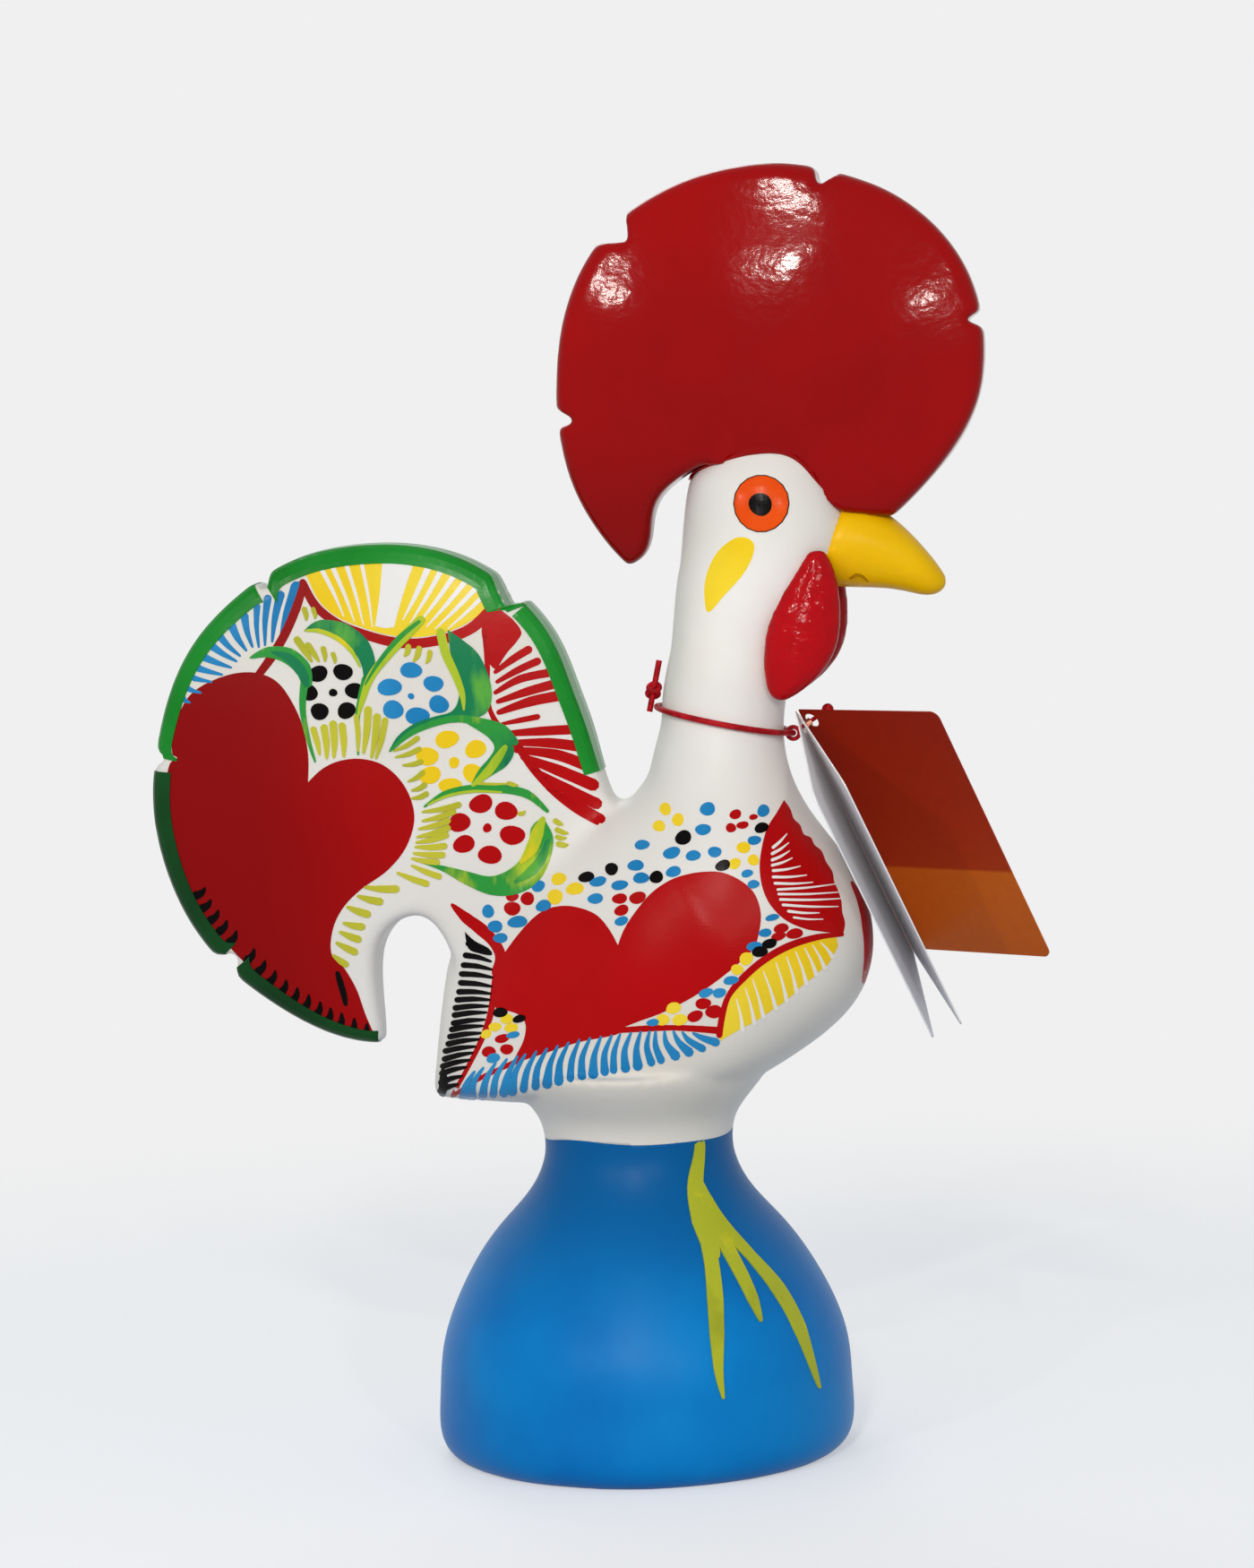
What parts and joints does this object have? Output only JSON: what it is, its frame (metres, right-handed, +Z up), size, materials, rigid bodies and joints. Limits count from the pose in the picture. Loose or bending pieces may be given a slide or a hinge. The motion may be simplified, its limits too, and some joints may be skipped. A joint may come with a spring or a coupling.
{
  "type": "rooster of barcelos",
  "caption": "Painted clay rooster with a lens-shaped comb and fan tail on a hollow bell foot, and a folded card tag on a neck cord.",
  "frame": {"origin": "centre of the flat ring that the bell foot rests on", "axes": "+Z up from the foot to the comb, +X the way the bird faces, +Y across its width towards its left side"},
  "size_m": [0.2098, 0.098, 0.2999],
  "materials": {
    "white_clay": "glossy cream-white paint with brushed folk pattern",
    "red_clay": "glossy deep red paint",
    "blue_clay": "glossy blue paint",
    "yellow_clay": "glossy yellow paint",
    "cord": "round red cord",
    "crimp": "polished",
    "white_card": "smooth uncoated card",
    "brown_card": "satin printed card"
  },
  "bodies": {
    "rooster": {"foot": "blue_clay", "body_right_half": "white_clay", "body_left_half": "white_clay", "tail_right_half": "white_clay", "tail_left_half": "white_clay", "comb_right_half": "red_clay", "comb_left_half": "red_clay", "beak": "yellow_clay", "wattle_right": "red_clay", "wattle_left": "red_clay", "neck_cord": "cord", "cord_knot": "cord"},
    "tag": {"tag_back_leaf": "white_card", "tag_tie": "cord", "tie_crimp": "crimp"},
    "inner_leaf": {"tag_inner_leaf": "white_card"},
    "front_leaf": {"tag_front_leaf": "brown_card"}
  },
  "joints": [
    {"name": "tag_swing", "type": "hinge", "parent": "rooster", "child": "tag", "pos_m": [0.03924, 0, 0.16842], "axis": [0, -1, 0], "range_deg": [0, 24]},
    {"name": "front_leaf_fold", "type": "hinge", "parent": "tag", "child": "front_leaf", "pos_m": [0.0397, 0.00232, 0.17372], "axis": [0.3311, 0.4394, -0.835], "range_deg": [-20, 12], "stiffness_Nm_per_rad": 0.02},
    {"name": "inner_leaf_fold", "type": "hinge", "parent": "tag", "child": "inner_leaf", "pos_m": [0.0397, 0.00232, 0.17372], "axis": [0.3311, 0.4394, -0.835], "range_deg": [-12, 1.5], "stiffness_Nm_per_rad": 0.02}
  ]
}
